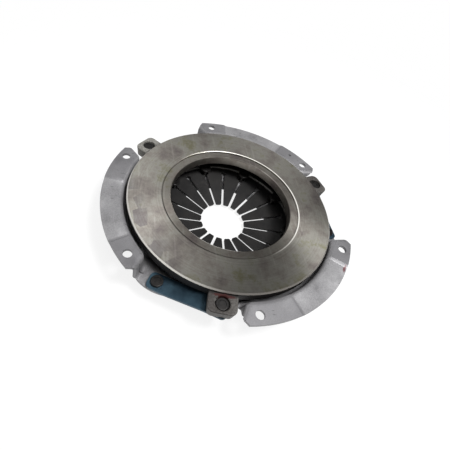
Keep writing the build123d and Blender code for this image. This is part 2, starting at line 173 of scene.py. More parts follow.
floor_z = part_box("cover")[0][2] - SHEET_GAP
corners = [(x * SHEET_HALF, y * SHEET_HALF, floor_z) for x, y in ((-1, -1), (1, -1), (1, 1), (-1, 1))]
floor_mesh = bpy.data.meshes.new("floor")
floor_mesh.from_pydata(corners, [], [(0, 1, 2, 3)])
floor = bpy.data.objects.new("floor", floor_mesh)
bpy.context.scene.collection.objects.link(floor)
floor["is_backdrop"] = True
print("Floor at", round(floor_z / MM, 2), "mm")

# %% White paper
WHITE = (1.0, 1.0, 1.0, 1.0)
SHADOW_SHARE = 0.2           # how much of the white is real shading, which the shadow can take away
LIT_SHEET = 0.8              # how bright the lamps and the room make a pure white sheet
FADE_FROM, FADE_TO = 0.25, 0.6   # metres from the middle between which the real shading fades out


def sees_backdrop(tree):
    """1 for rays that should meet a plain white backdrop, else 0."""
    rays = add(tree, "ShaderNodeLightPath", {}).outputs
    direct = add(
        tree, "ShaderNodeMath", {0: rays["Is Camera Ray"], 1: rays["Is Glossy Ray"]},
        operation="MAXIMUM",
    )
    return add(
        tree, "ShaderNodeMath", {0: direct, 1: rays["Is Transmission Ray"]}, operation="MAXIMUM"
    )


# Uncoated paper: no gloss at all, the same white from every side.
paper = bpy.data.materials.new("white_paper_sheet")
paper.use_nodes = True
tree = paper.node_tree
tree.nodes.remove(tree.nodes["Principled BSDF"])
matt_paper = add(tree, "ShaderNodeBsdfDiffuse", {"Color": linear("#e6e6e6")})
shaded = add(tree, "ShaderNodeBsdfDiffuse", {"Color": (SHADOW_SHARE, SHADOW_SHARE, SHADOW_SHARE, 1.0)})
glow = add(tree, "ShaderNodeEmission", {"Color": WHITE, "Strength": 1.0 - SHADOW_SHARE * LIT_SHEET})
near_white = add(tree, "ShaderNodeAddShader", {0: shaded, 1: glow})
far_white = add(tree, "ShaderNodeEmission", {"Color": WHITE, "Strength": 1.0})
floor_place = add(tree, "ShaderNodeTexCoord", {}).outputs["Object"]
from_part = add(tree, "ShaderNodeVectorMath", {0: floor_place}, operation="LENGTH").outputs["Value"]
faded = add(
    tree, "ShaderNodeMapRange", {"Value": from_part, "From Min": FADE_FROM, "From Max": FADE_TO}
)
backdrop = add(tree, "ShaderNodeMixShader", {0: faded, 1: near_white, 2: far_white})
seen = add(tree, "ShaderNodeMixShader", {0: sees_backdrop(tree), 1: matt_paper, 2: backdrop})
connect(tree, tree.nodes["Material Output"], {"Surface": seen})
floor_mesh.materials.append(paper)
print("Paper nodes:", len(tree.nodes))

# %% [markdown]
# ## Light
# Flat metal shows what it mirrors, so it needs a dim, even room with a few brighter places in it.
# An image of a studio could surround the part, but this script uses no images. So the room is a
# plain grey glow, and soft lamps stand round the part. On the turned face each lamp draws out into
# a pair of wedges across the tool marks. The key lamp is the strongest and the smallest, for one
# clear pair of wedges, and the others are larger and fainter.

# %% Room
ROOM_GLOW = 0.17

world = bpy.data.worlds.new("studio")
bpy.context.scene.world = world
world.use_nodes = True
tree = world.node_tree
room = tree.nodes["Background"]
connect(tree, room, {"Color": WHITE, "Strength": ROOM_GLOW})
white = add(tree, "ShaderNodeBackground", {"Color": WHITE, "Strength": 1.0})
camera_ray = add(tree, "ShaderNodeLightPath", {}).outputs["Is Camera Ray"]
seen = add(tree, "ShaderNodeMixShader", {0: camera_ray, 1: room, 2: white})
connect(tree, tree.nodes["World Output"], {"Surface": seen})
print("Room glow:", ROOM_GLOW)

# %% Lamps
LAMP_DISTANCE = 1.2


def softbox(name, turn, height, size, watts):
    """A square area lamp aimed at the part. Turn, from the X axis, and height are in degrees."""
    data = bpy.data.lights.new(name, "AREA")
    data.shape = "SQUARE"
    data.size = size
    data.energy = watts
    lamp = bpy.data.objects.new(name, data)
    level = cos(radians(height))
    direction = Vector((level * cos(radians(turn)), level * sin(radians(turn)), sin(radians(height))))
    lamp.location = direction * LAMP_DISTANCE
    lamp.rotation_euler = direction.to_track_quat("Z", "Y").to_euler()
    bpy.context.scene.collection.objects.link(lamp)


softbox("key_high_right", turn=-8, height=70, size=0.3, watts=11.4)
softbox("soft_high_front_right", turn=-44, height=70, size=0.4, watts=2.2)
softbox("soft_back", turn=88, height=30, size=0.5, watts=0.42)
softbox("soft_back_left", turn=134, height=52, size=0.6, watts=1.45)
softbox("soft_front_left", turn=222, height=45, size=0.6, watts=0.7)

# %% [markdown]
# ## Turned grey iron
# The pressure plate is a grey iron casting. Its friction face, the step inside it, the bore and the
# chamfers are turned on a lathe, and the lugs and the rim stay as cast. Each zone could be a mesh
# with a material of its own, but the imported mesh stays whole. So one material tells the zones apart
# by height and by distance from the axis, just as the lathe did.

# %% Zones of the plate
TURNED_DEPTH = 1.4 * MM      # how far below the face the cast skin begins
CHAMFER_WIDTH = 1.2 * MM
BORE_R = 61.4 * MM
FACE_INNER_R = 69.6 * MM
BLUR = 0.1 * MM              # half the width over which one zone passes into the next

plate_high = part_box("pressure_plate")[1]
CAST_TOP_Z = plate_high[2] - TURNED_DEPTH
RIM_R = plate_high[0]        # no lug stands out along the X axis
FACE_OUTER_R = RIM_R - CHAMFER_WIDTH


def new_material(name):
    """A material, its node tree, its Principled shader and the part's own coordinates."""
    material = bpy.data.materials.new(name)
    material.use_nodes = True
    tree = material.node_tree
    own_place = add(tree, "ShaderNodeTexCoord", {}).outputs["Object"]
    return material, tree, tree.nodes["Principled BSDF"], own_place


# Turned iron: bright but soft, because the graphite in it breaks up the mirror image.
grey_iron, tree, shader, place = new_material("turned_grey_iron")
level_place = add(tree, "ShaderNodeVectorMath", {0: place, 1: (1, 1, 0)}, operation="MULTIPLY")
radius = add(tree, "ShaderNodeVectorMath", {0: level_place}, operation="LENGTH").outputs["Value"]
height = add(tree, "ShaderNodeSeparateXYZ", {0: place}).outputs["Z"]
high = add(
    tree, "ShaderNodeMapRange",
    {"Value": height, "From Min": CAST_TOP_Z - BLUR, "From Max": CAST_TOP_Z + BLUR},
)
bored = add(
    tree, "ShaderNodeMapRange",
    {"Value": radius, "From Min": BORE_R + 3 * BLUR, "From Max": BORE_R + BLUR},
)
turned = add(tree, "ShaderNodeMath", {0: high, 1: bored}, operation="MAXIMUM")
on_chamfer = add(
    tree, "ShaderNodeMapRange",
    {"Value": radius, "From Min": FACE_OUTER_R - BLUR, "From Max": FACE_OUTER_R + BLUR},
)
print("Face width:", round((FACE_OUTER_R - FACE_INNER_R) / MM, 1), "mm")

# %% Tones of the turned zones
RAMP_END_R = 110 * MM        # the colour ramps by radius run from the axis to here
BORE_HIGHLIGHT_WIDTH = 0.6 * MM         # width of the bore's broken edge, rubbed bright
FACE_EDGE = 0.5 * MM         # width of the face's inner edge, a little dirty

by_radius = add(tree, "ShaderNodeMath", {0: radius, 1: RAMP_END_R}, operation="DIVIDE")


def ring(r):
    """A radius in metres as a place on the ramps by radius."""
    return r / RAMP_END_R


# The bore's broken edge, a clean cut, is painted near white all round as a highlight line, and a thin
# band at the face's inner edge is a little darker.
zone_tone = add(
    tree, "ShaderNodeValToRGB", {"Fac": by_radius},
    stops=[
        (ring(BORE_R + BLUR / 2), "#a8a49d"),
        (ring(BORE_R + BLUR), "#efece4"),
        (ring(BORE_R + BORE_HIGHLIGHT_WIDTH), "#efece4"),
        (ring(BORE_R + BORE_HIGHLIGHT_WIDTH + 2 * BLUR), "#a4a19b"),
        (ring(FACE_INNER_R - 2 * BLUR), "#a4a19b"),
        (ring(FACE_INNER_R), "#8f8b85"),
        (ring(FACE_INNER_R + FACE_EDGE), "#b4b2ac"),
    ],
)
print("Zone tones:", len(zone_tone.color_ramp.elements))

# %% [markdown]
# ## Tool marks
# The lathe tool leaves fine rings round the axis, and light drawn out across them makes the bright
# wedges. Rings could be cut in the mesh, but there are more than a hundred. Noise that changes only
# along the radius gives rings of uneven depth, with no seam. The real ones are about 0.2 mm apart,
# too fine for the render, so the broadest are drawn 1.3 mm apart.

# %% Rings of the lathe tool
RING_PITCH = 1.3 * MM
NOISE_LOW, NOISE_HIGH = 0.3, 0.7   # a noise node's value seldom leaves this range

# A Mix node has sockets for every kind of data. These are the share of B, then A and B as plain
# numbers, then A and B as colours.
SHARE, NUMBER_A, NUMBER_B, COLOUR_A, COLOUR_B = 0, 2, 3, 6, 7

ring_line = add(tree, "ShaderNodeCombineXYZ", {"X": radius})
tool_marks = add(
    tree, "ShaderNodeTexNoise",
    {"Vector": ring_line, "Scale": 1 / RING_PITCH, "Detail": 4.0, "Roughness": 0.7},
)
mark_tone = add(
    tree, "ShaderNodeValToRGB", {"Fac": tool_marks},
    stops=[(NOISE_LOW, "#dcdcdc"), (NOISE_HIGH, "#ffffff")],
)
ringed = add(
    tree, "ShaderNodeMix", {SHARE: 1.0, COLOUR_A: zone_tone, COLOUR_B: mark_tone},
    data_type="RGBA", blend_type="MULTIPLY",
)
print("Rings drawn across the face:", round((FACE_OUTER_R - FACE_INNER_R) / RING_PITCH))

# %% [markdown]
# ## Stains
# The oil that keeps rust off dries on the face in ragged patches a few centimetres wide, some of
# them lilac grey and some yellowish. They could be painted by hand, but rough noise through a ramp
# of those tints has the same torn outlines and reaches the whole face.

# %% Stains of dried oil
STAIN_SIZE = 30 * MM
STAIN_STRENGTH = 0.9

stains = add(
    tree, "ShaderNodeTexNoise",
    {"Vector": place, "Scale": 1 / STAIN_SIZE, "Detail": 7.0, "Roughness": 0.7},
)
stain_tone = add(
    tree, "ShaderNodeValToRGB", {"Fac": stains},
    stops=[(0.34, "#bfb4b8"), (0.46, "#e8e2de"), (0.55, "#fffefa"), (0.66, "#d8d6b6")],
)
stained = add(
    tree, "ShaderNodeMix", {SHARE: STAIN_STRENGTH, COLOUR_A: ringed, COLOUR_B: stain_tone},
    data_type="RGBA", blend_type="MULTIPLY",
)
print("Stain tints:", len(stain_tone.color_ramp.elements))

# %% [markdown]
# ## Painted facet reflections and scratches
# On one side of the face, small flat patches are painted pale and lilac as facets that each reflect the
# light a little differently: a painted reflection. The cells of a Voronoi texture have such straight
# sides, and a mask by direction makes them strong on that side and faint elsewhere. Handling leaves
# long scratches that nearly all run one way. Noise stretched along one line draws them all at once. A
# real one is a hair's width, too fine for the render, so they are drawn about a millimetre wide.

# %% Painted facet reflections
REFLECTION_SIDE = (-0.66, -0.75, 0.0)
FACETS_FROM, FACETS_TO = 76 * MM, 94 * MM   # how far out to that side they grow strong
PATCHES_LEAST, PATCHES_MOST = 0.1, 0.9
PATCH_SIZE = 14 * MM

# Painted reflection: patches of pale tone where facets would catch the light.
facet_reflections = add(
    tree, "ShaderNodeTexVoronoi", {"Vector": place, "Scale": 1 / PATCH_SIZE, "Randomness": 1.0}
).outputs["Color"]
to_reflection_side = add(
    tree, "ShaderNodeVectorMath", {0: place, 1: REFLECTION_SIDE}, operation="DOT_PRODUCT"
).outputs["Value"]
facet_reflection_share = add(
    tree, "ShaderNodeMapRange",
    {
        "Value": to_reflection_side,
        "From Min": FACETS_FROM,
        "From Max": FACETS_TO,
        "To Min": PATCHES_LEAST,
        "To Max": PATCHES_MOST,
    },
)
facet_reflection_tone = add(
    tree, "ShaderNodeValToRGB", {"Fac": facet_reflections}, stops=[(0.3, "#cbc8d1"), (0.7, "#ffffff")]
)
facet_reflected = add(
    tree, "ShaderNodeMix", {SHARE: facet_reflection_share, COLOUR_A: stained, COLOUR_B: facet_reflection_tone},
    data_type="RGBA", blend_type="MULTIPLY",
)
print("Painted facets start", round(FACETS_FROM / MM), "mm out")

# %% Scratches
SCRATCH_TURN = radians(28)
SCRATCH_WIDTH, SCRATCH_LENGTH = 3 * MM, 50 * MM


def streaks(tree, place, turn, width, length):
    """Noise drawn out into lines of about this width and length, turned by an angle."""
    drawn_out = add(
        tree, "ShaderNodeMapping",
        {"Vector": place, "Rotation": (0, 0, turn), "Scale": (width, length, 1.0)},
        vector_type="TEXTURE",
    )
    return add(
        tree, "ShaderNodeTexNoise", {"Vector": drawn_out, "Scale": 1.0, "Detail": 1.0, "Roughness": 0.4}
    )


# Only the crests of the noise show, so each line is much thinner than the noise is wide.
scratches = streaks(tree, place, SCRATCH_TURN, SCRATCH_WIDTH, SCRATCH_LENGTH)
scratch_tone = add(
    tree, "ShaderNodeValToRGB", {"Fac": scratches}, stops=[(0.63, "#000000"), (0.7, "#3c3c3a")]
)
scratched = add(
    tree, "ShaderNodeMix", {SHARE: 1.0, COLOUR_A: facet_reflected, COLOUR_B: scratch_tone},
    data_type="RGBA", blend_type="ADD",
)
print("Scratches up to", round(SCRATCH_LENGTH / MM), "mm long")

# %% [markdown]
# ## Painted highlights on the step edge and the chamfer
# The step's edge carries a painted highlight on one side. The outer chamfer carries a painted
# highlight on the side of the painted facet reflections and is dull elsewhere. Edges could be found by
# their curvature, but here both are known circles, so each is a band by radius times a mask by
# direction.

# %% Painted highlight on the step edge
EDGE_WIDTH = 1.3 * MM
EDGE_HIGHLIGHT_SIDE = (0.55, 0.83, 0.0)
EDGE_HIGHLIGHT_FROM, EDGE_HIGHLIGHT_TO = -10 * MM, 35 * MM   # how far out to that side the edge grows bright

# A band at the step's edge, painted near white on one side as a highlight.
step_edge = add(
    tree, "ShaderNodeValToRGB", {"Fac": by_radius},
    stops=[
        (ring(FACE_INNER_R), "#000000"),
        (ring(FACE_INNER_R + BLUR), "#ffffff"),
        (ring(FACE_INNER_R + EDGE_WIDTH), "#ffffff"),
        (ring(FACE_INNER_R + EDGE_WIDTH + 3 * BLUR), "#000000"),
    ],
)
to_edge_highlight_side = add(
    tree, "ShaderNodeVectorMath", {0: place, 1: EDGE_HIGHLIGHT_SIDE}, operation="DOT_PRODUCT"
).outputs["Value"]
edge_highlight_share = add(
    tree, "ShaderNodeMapRange", {"Value": to_edge_highlight_side, "From Min": EDGE_HIGHLIGHT_FROM, "From Max": EDGE_HIGHLIGHT_TO}
)
painted_edge_highlight = add(tree, "ShaderNodeMath", {0: step_edge, 1: edge_highlight_share}, operation="MULTIPLY")
with_edge_highlight = add(
    tree, "ShaderNodeMix", {SHARE: painted_edge_highlight, COLOUR_A: scratched, COLOUR_B: linear("#f6f3ec")},
    data_type="RGBA",
)
print("Painted edge highlight:", round(EDGE_WIDTH / MM, 1), "mm wide")

# %% Painted highlight on the outer chamfer
# The chamfer is painted pale on one side as a highlight and dull elsewhere; these set how far out that
# painted highlight grows.
CHAMFER_HIGHLIGHT_FROM, CHAMFER_HIGHLIGHT_TO = 55 * MM, 95 * MM   # how far out to the hand work it grows bright

highlit = add(
    tree, "ShaderNodeMapRange",
    {"Value": to_reflection_side, "From Min": CHAMFER_HIGHLIGHT_FROM, "From Max": CHAMFER_HIGHLIGHT_TO},
)
chamfer_tone = add(
    tree, "ShaderNodeMix", {SHARE: highlit, COLOUR_A: linear("#7e7a75"), COLOUR_B: linear("#f6f3ec")},
    data_type="RGBA",
)
turned_tone = add(
    tree, "ShaderNodeMix", {SHARE: on_chamfer, COLOUR_A: with_edge_highlight, COLOUR_B: chamfer_tone},
    data_type="RGBA",
)
print("Chamfer dressed from", round(CHAMFER_HIGHLIGHT_FROM / MM), "mm out")

# %% [markdown]
# ## Cast skin
# The lugs and the rim keep the grain of the sand mould. The skin grows paler towards one side, and
# where the rim hides in the gap inside the cover it is painted almost black as shade. Displacement
# could raise the sand grains, but they are too low to change an outline, so noise gives them to the
# tone and to a shallow bump. Real grains are about 0.3 mm, too fine for the render, so they are
# drawn 1.4 mm wide.

# %% Skin of the casting
SAND_GRAIN = 1.4 * MM
CAST_PATCH = 40 * MM
# The cast skin's tone grows paler towards this side.
PALE_SIDE = (-0.97, 0.26, 0.0)
PALE_FROM, PALE_TO = 50 * MM, 115 * MM   # how far out to that side the skin grows pale
# Painted shade: inside the gap round the rim the skin is near black, and out of it its own tone shows.
GAP_FROM, GAP_TO = RIM_R + 0.3 * MM, RIM_R + 3 * MM   # out of the gap, from black to clean

sand = add(tree, "ShaderNodeTexNoise", {"Vector": place, "Scale": 1 / SAND_GRAIN, "Detail": 4.0})
sand_tone = add(tree, "ShaderNodeValToRGB", {"Fac": sand}, stops=[(0.35, "#c4c3c0"), (0.65, "#ffffff")])
cast_patches = add(
    tree, "ShaderNodeTexNoise", {"Vector": place, "Scale": 1 / CAST_PATCH, "Detail": 2.0}
)
patch_tone = add(
    tree, "ShaderNodeValToRGB", {"Fac": cast_patches}, stops=[(0.38, "#514d4b"), (0.62, "#6d6a67")]
)
to_pale_side = add(
    tree, "ShaderNodeVectorMath", {0: place, 1: PALE_SIDE}, operation="DOT_PRODUCT"
).outputs["Value"]
paler_share = add(
    tree, "ShaderNodeMapRange",
    {"Value": to_pale_side, "From Min": PALE_FROM, "From Max": PALE_TO},
)
side_tone = add(
    tree, "ShaderNodeMix", {SHARE: paler_share, COLOUR_A: patch_tone, COLOUR_B: linear("#a5a39e")},
    data_type="RGBA",
)
sandy = add(
    tree, "ShaderNodeMix", {SHARE: 1.0, COLOUR_A: side_tone, COLOUR_B: sand_tone},
    data_type="RGBA", blend_type="MULTIPLY",
)
# Painted shade in the gap round the rim.
out_of_gap_shade = add(
    tree, "ShaderNodeMapRange", {"Value": radius, "From Min": GAP_FROM, "From Max": GAP_TO}
)
cast_skin = add(
    tree, "ShaderNodeMix", {SHARE: out_of_gap_shade, COLOUR_A: linear("#2a2827"), COLOUR_B: sandy},
    data_type="RGBA",
)
print("Sand grains drawn", round(SAND_GRAIN / MM, 1), "mm wide")

# %% [markdown]
# ## Paint mark
# A plate that has passed inspection gets a quick touch of dark red paint, half worn off by now. It
# could be a thin mesh of its own, but paint this thin has no height to see. So it is a stretched
# round mask, and noise added to its distance tears the outline.

# %% Paint mark and the plate's colour
PLATE_MARK_ANGLE = radians(285)
PLATE_MARK_R = 104.8 * MM
PLATE_MARK_LENGTH, PLATE_MARK_WIDTH = 20 * MM, 3.2 * MM
MARK_DEPTH = 30 * MM         # so deep that the surface's height hardly changes the mask
BRISTLE = 1.5 * MM           # size of the tears in the outline
TEAR = 1.6                   # how far they reach, against half the mark's width
INSIDE, OUTSIDE = 1.5, 1.9   # torn distances at which the paint is whole and gone


def dab(tree, place, angle, radius, length, width):
    """Mask of one uneven brush mark, laid around the axis at an angle and a radius."""
    around = add(
        tree, "ShaderNodeMapping",
        {
            "Vector": place,
            "Location": (radius * cos(angle), radius * sin(angle), 0.0),
            "Rotation": (0, 0, angle),
            "Scale": (width / 2, length / 2, MARK_DEPTH),
        },
        vector_type="TEXTURE",
    )
    reach = add(tree, "ShaderNodeVectorMath", {0: around}, operation="LENGTH").outputs["Value"]
    ragged = add(tree, "ShaderNodeTexNoise", {"Vector": place, "Scale": 1 / BRISTLE, "Detail": 3.0})
    torn = add(tree, "ShaderNodeMath", {0: ragged, 1: TEAR, 2: reach}, operation="MULTIPLY_ADD")
    return add(tree, "ShaderNodeMapRange", {"Value": torn, "From Min": OUTSIDE, "From Max": INSIDE})


iron_tone = add(
    tree, "ShaderNodeMix", {SHARE: turned, COLOUR_A: cast_skin, COLOUR_B: turned_tone}, data_type="RGBA"
)
plate_mark = dab(tree, place, PLATE_MARK_ANGLE, PLATE_MARK_R, PLATE_MARK_LENGTH, PLATE_MARK_WIDTH)
iron_colour = add(
    tree, "ShaderNodeMix", {SHARE: plate_mark, COLOUR_A: iron_tone, COLOUR_B: linear("#4a2a28")},
    data_type="RGBA",
)
print("Paint mark at", round(PLATE_MARK_R / MM, 1), "mm from the axis")

# %% [markdown]
# ## Gloss and relief of the iron
# Turned iron is bare metal with rings, which stretch a highlight, so it is glossier, fully metallic
# and anisotropic about the axis. Cast skin is part oxide, rougher and less metallic. The chamfer and
# the step's edge carry painted highlights, and are made almost non-metallic so that their pale tone
# shows from every side. The step's edge could be rounded in the mesh, but the imported mesh is never
# changed, so a bump rounds it.

# %% Metal and gloss of the plate
CAST_ROUGHNESS, TURNED_ROUGHNESS = 0.6, 0.3
CAST_METAL, CHAMFER_METAL, EDGE_METAL = 0.5, 0.15, 0.1
RING_STRETCH = 0.8

iron_roughness = add(
    tree, "ShaderNodeMapRange", {"Value": turned, "To Min": CAST_ROUGHNESS, "To Max": TURNED_ROUGHNESS}
)
skin_metal = add(tree, "ShaderNodeMapRange", {"Value": turned, "To Min": CAST_METAL, "To Max": 1.0})
chamfer_metal = add(
    tree, "ShaderNodeMapRange", {"Value": on_chamfer, "To Min": 1.0, "To Max": CHAMFER_METAL}
)
edge_metal = add(
    tree, "ShaderNodeMapRange", {"Value": painted_edge_highlight, "To Min": 1.0, "To Max": EDGE_METAL}
)
rubbed_metal = add(tree, "ShaderNodeMath", {0: chamfer_metal, 1: edge_metal}, operation="MINIMUM")
iron_metal = add(tree, "ShaderNodeMath", {0: skin_metal, 1: rubbed_metal}, operation="MINIMUM")
round_axis = add(tree, "ShaderNodeTangent", {}, direction_type="RADIAL", axis="Z")
connect(
    tree, shader,
    {
        "Base Color": iron_colour,
        "Metallic": iron_metal,
        "Roughness": iron_roughness,
        "Anisotropic": RING_STRETCH,
        "Tangent": round_axis,
    },
)
print("Roughness, cast and turned:", CAST_ROUGHNESS, TURNED_ROUGHNESS)

# %% Relief of the plate
EDGE_ROUND = 1.0 * MM        # how far the rounded edge runs out onto the face
EDGE_DROP = 0.55 * MM        # how far it seems to drop at the step
GRAIN_DEPTH = 0.03 * MM
GRAIN_STRENGTH = 0.3


def give_material(node_name, material):
    """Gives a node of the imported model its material."""
    mesh = nodes[node_name].data
    mesh.materials.clear()
    mesh.materials.append(material)


edge_rise = add(
    tree, "ShaderNodeMapRange",
    {"Value": radius, "From Min": FACE_INNER_R - BLUR, "From Max": FACE_INNER_R + EDGE_ROUND},
    interpolation_type="SMOOTHSTEP",
)
round_edge = add(tree, "ShaderNodeBump", {"Height": edge_rise, "Strength": 1.0, "Distance": EDGE_DROP})
grain = add(
    tree, "ShaderNodeMix", {SHARE: turned, NUMBER_A: sand, NUMBER_B: tool_marks}, data_type="FLOAT"
)
iron_relief = add(
    tree, "ShaderNodeBump",
    {"Height": grain, "Strength": GRAIN_STRENGTH, "Distance": GRAIN_DEPTH, "Normal": round_edge},
)
connect(tree, shader, {"Normal": iron_relief})
give_material("pressure_plate", grey_iron)
print("Plate nodes:", len(tree.nodes))

# %% [markdown]
# ## Pressed and phosphated steel
# The cover is pressed from 2.8 mm sheet and phosphated, which gives it a pale grey skin of fine
# crystals that scatters light softly. Handling and oil leave darker smudges a few centimetres wide,
# and the press leaves short scuffs. A painted texture could hold all this, but layers of noise
# reach every side alike. Real crystals are a few hundredths of a millimetre, too fine for the
# render, so they are drawn 0.9 mm wide.

# %% Phosphate skin
SMUDGE_SIZE = 24 * MM
SMUDGE_PATTERN = 2.0         # picks one of the many patterns that the noise holds
CRYSTAL_SIZE = 0.9 * MM
CRYSTAL_STRENGTH = 0.8
SCUFF_TURN = radians(115)
SCUFF_WIDTH, SCUFF_LENGTH = 1.8 * MM, 8 * MM

# Phosphated steel: chalky and even, a grey skin with only a little metal shining through.
phosphated, tree, shader, place = new_material("phosphated_pressed_steel")
smudges = add(
    tree, "ShaderNodeTexNoise",
    {"Vector": place, "W": SMUDGE_PATTERN, "Scale": 1 / SMUDGE_SIZE, "Detail": 4.0, "Roughness": 0.5},
    noise_dimensions="4D",
)
smudge_tone = add(
    tree, "ShaderNodeValToRGB", {"Fac": smudges},
    stops=[(NOISE_LOW, "#7b7a7c"), (0.42, "#9a999b"), (0.58, "#a9a8aa"), (NOISE_HIGH, "#c1c0c2")],
)
scuffs = streaks(tree, place, SCUFF_TURN, SCUFF_WIDTH, SCUFF_LENGTH)
scuff_tone = add(
    tree, "ShaderNodeValToRGB", {"Fac": scuffs}, stops=[(0.23, "#8c8c8c"), (0.29, "#ffffff")]
)
scuffed = add(
    tree, "ShaderNodeMix", {SHARE: 1.0, COLOUR_A: smudge_tone, COLOUR_B: scuff_tone},
    data_type="RGBA", blend_type="MULTIPLY",
)
crystals = add(tree, "ShaderNodeTexNoise", {"Vector": place, "Scale": 1 / CRYSTAL_SIZE, "Detail": 3.0})
crystal_tone = add(
    tree, "ShaderNodeValToRGB", {"Fac": crystals}, stops=[(0.35, "#dcdcdc"), (0.65, "#ffffff")]
)
crystal_skin = add(
    tree, "ShaderNodeMix", {SHARE: CRYSTAL_STRENGTH, COLOUR_A: scuffed, COLOUR_B: crystal_tone},
    data_type="RGBA", blend_type="MULTIPLY",
)
print("Smudges about", round(SMUDGE_SIZE / MM), "mm wide")

# %% [markdown]
# ## Pads and paint mark of the cover
# The six raised bolt pads touch whatever lies on the cover, so they are darker than the low flange
# between them. They could have a material of their own, but height alone tells them apart. One edge
# of the flange carries another touch of red paint.

# %% Pads, paint mark and gloss of the cover
PAD_FROM, PAD_TO = -0.9 * MM, -0.3 * MM   # heights on the slope, just below a pad's top
PAD_DIRT = 0.55              # how much of the dark tone a pad takes
COVER_MARK_ANGLE = radians(350)
COVER_MARK_R = 125 * MM
COVER_MARK_LENGTH, COVER_MARK_WIDTH = 9 * MM, 2.4 * MM
DULL_ROUGHNESS, RUBBED_ROUGHNESS = 0.6, 0.5
PHOSPHATE_METAL = 0.3
PIT_DEPTH = 0.03 * MM
PIT_STRENGTH = 0.2

height = add(tree, "ShaderNodeSeparateXYZ", {0: place}).outputs["Z"]
on_pad = add(
    tree, "ShaderNodeMapRange",
    {"Value": height, "From Min": PAD_FROM, "From Max": PAD_TO, "To Min": 0.0, "To Max": PAD_DIRT},
)
stacked = add(
    tree, "ShaderNodeMix", {SHARE: on_pad, COLOUR_A: crystal_skin, COLOUR_B: linear("#6e6d70")},
    data_type="RGBA",
)
cover_mark = dab(tree, place, COVER_MARK_ANGLE, COVER_MARK_R, COVER_MARK_LENGTH, COVER_MARK_WIDTH)
cover_colour = add(
    tree, "ShaderNodeMix", {SHARE: cover_mark, COLOUR_A: stacked, COLOUR_B: linear("#7a5558")},
    data_type="RGBA",
)
rubbed = add(
    tree, "ShaderNodeMapRange",
    {
        "Value": smudges,
        "From Min": NOISE_LOW,
        "From Max": NOISE_HIGH,
        "To Min": DULL_ROUGHNESS,
        "To Max": RUBBED_ROUGHNESS,
    },
)
pits = add(
    tree, "ShaderNodeBump", {"Height": crystals, "Strength": PIT_STRENGTH, "Distance": PIT_DEPTH}
)
connect(
    tree, shader,
    {"Base Color": cover_colour, "Metallic": PHOSPHATE_METAL, "Roughness": rubbed, "Normal": pits},
)
give_material("cover", phosphated)
print("Cover nodes:", len(tree.nodes))

# %% [markdown]
# ## Dark spring, strap and rivet steels
# The diaphragm spring is hardened, shot peened and oiled. The strap leaves are tempered blue. The
# rivets are dark from their heat treatment, and the wire rings are drawn and oiled. Each could have
# nodes of its own, but all are the same kind of surface, satin metal with soft patches of tone. So
# one function makes them, and only the tones, the metal, the gloss and the sizes differ. Real
# peening marks are about 0.3 mm across, too fine for the render, so the grain is drawn about a
# millimetre wide.

# %% Dark steels
DULLER, GLOSSIER = 0.08, 0.06   # how far the roughness swings between the patches
PEEN_DEPTH = 0.03 * MM
PEEN_STRENGTH = 0.25


def dark_steel(name, dark, light, metal, roughness, patch, grain):
    """Tempered or oiled steel: patches of tone, a fine grain and an uneven gloss."""
    material, tree, shader, place = new_material(name)
    patches = add(
        tree, "ShaderNodeTexNoise",
        {"Vector": place, "Scale": 1 / patch, "Detail": 4.0, "Roughness": 0.6},
    )
    tone = add(
        tree, "ShaderNodeValToRGB", {"Fac": patches}, stops=[(NOISE_LOW, dark), (NOISE_HIGH, light)]
    )
    gloss = add(
        tree, "ShaderNodeMapRange",
        {
            "Value": patches,
            "From Min": NOISE_LOW,
            "From Max": NOISE_HIGH,
            "To Min": roughness - GLOSSIER,
            "To Max": roughness + DULLER,
        },
    )
    peened = add(tree, "ShaderNodeTexNoise", {"Vector": place, "Scale": 1 / grain, "Detail": 2.0})
    dents = add(
        tree, "ShaderNodeBump", {"Height": peened, "Strength": PEEN_STRENGTH, "Distance": PEEN_DEPTH}
    )
    connect(tree, shader, {"Base Color": tone, "Metallic": metal, "Roughness": gloss, "Normal": dents})
    return material


# Hardened and oiled: nearly black, with a soft sheen and no clear mirror image.
hardened_spring = dark_steel(
    "hardened_spring_steel", "#19191a", "#272524",
    metal=0.3, roughness=0.5, patch=14 * MM, grain=0.9 * MM,
)
# Tempered: a thin film of oxide that turns the metal slate blue and leaves it shiny.
blued_spring = dark_steel(
    "blued_spring_steel", "#293b49", "#455e6c",
    metal=0.75, roughness=0.4, patch=12 * MM, grain=1.2 * MM,
)
# Heat treated: a tight black scale, smooth enough for a small highlight on each head.
heat_dark_rivet = dark_steel(
    "heat_dark_rivet_steel", "#1f1e1e", "#302e2d",
    metal=0.6, roughness=0.42, patch=4 * MM, grain=0.8 * MM,
)
# Drawn through a die: smooth and bright, so the thin rings shine between the dark fingers.
drawn_wire = dark_steel(
    "drawn_wire_steel", "#5a5956", "#85837e",
    metal=0.8, roughness=0.3, patch=6 * MM, grain=0.8 * MM,
)
for name in nodes:
    if "rivet" in name:
        give_material(name, heat_dark_rivet)
    if "fulcrum_ring" in name:
        give_material(name, drawn_wire)
print("Dark steels:", [material.name for material in bpy.data.materials if "steel" in material.name])

# %% [markdown]
# ## Strap leaves
# The straps pull the plate back and turn it with the cover. Each leaf is riveted to the cover at
# one end and to a plate lug at the other, and bends between the two. It could be drawn afresh, but
# the imported solid has the right outline, so the new piece is a copy of it, sliced across at short
# steps.

# %% Strap leaves
WINDOWS = 3
FIRST_WINDOW_ANGLE = -90.0
LEAVES = 3
STRAP_FREE_HALF = 17.4 * MM   # half the length that is free to bend
LEAF_SLICES = 16

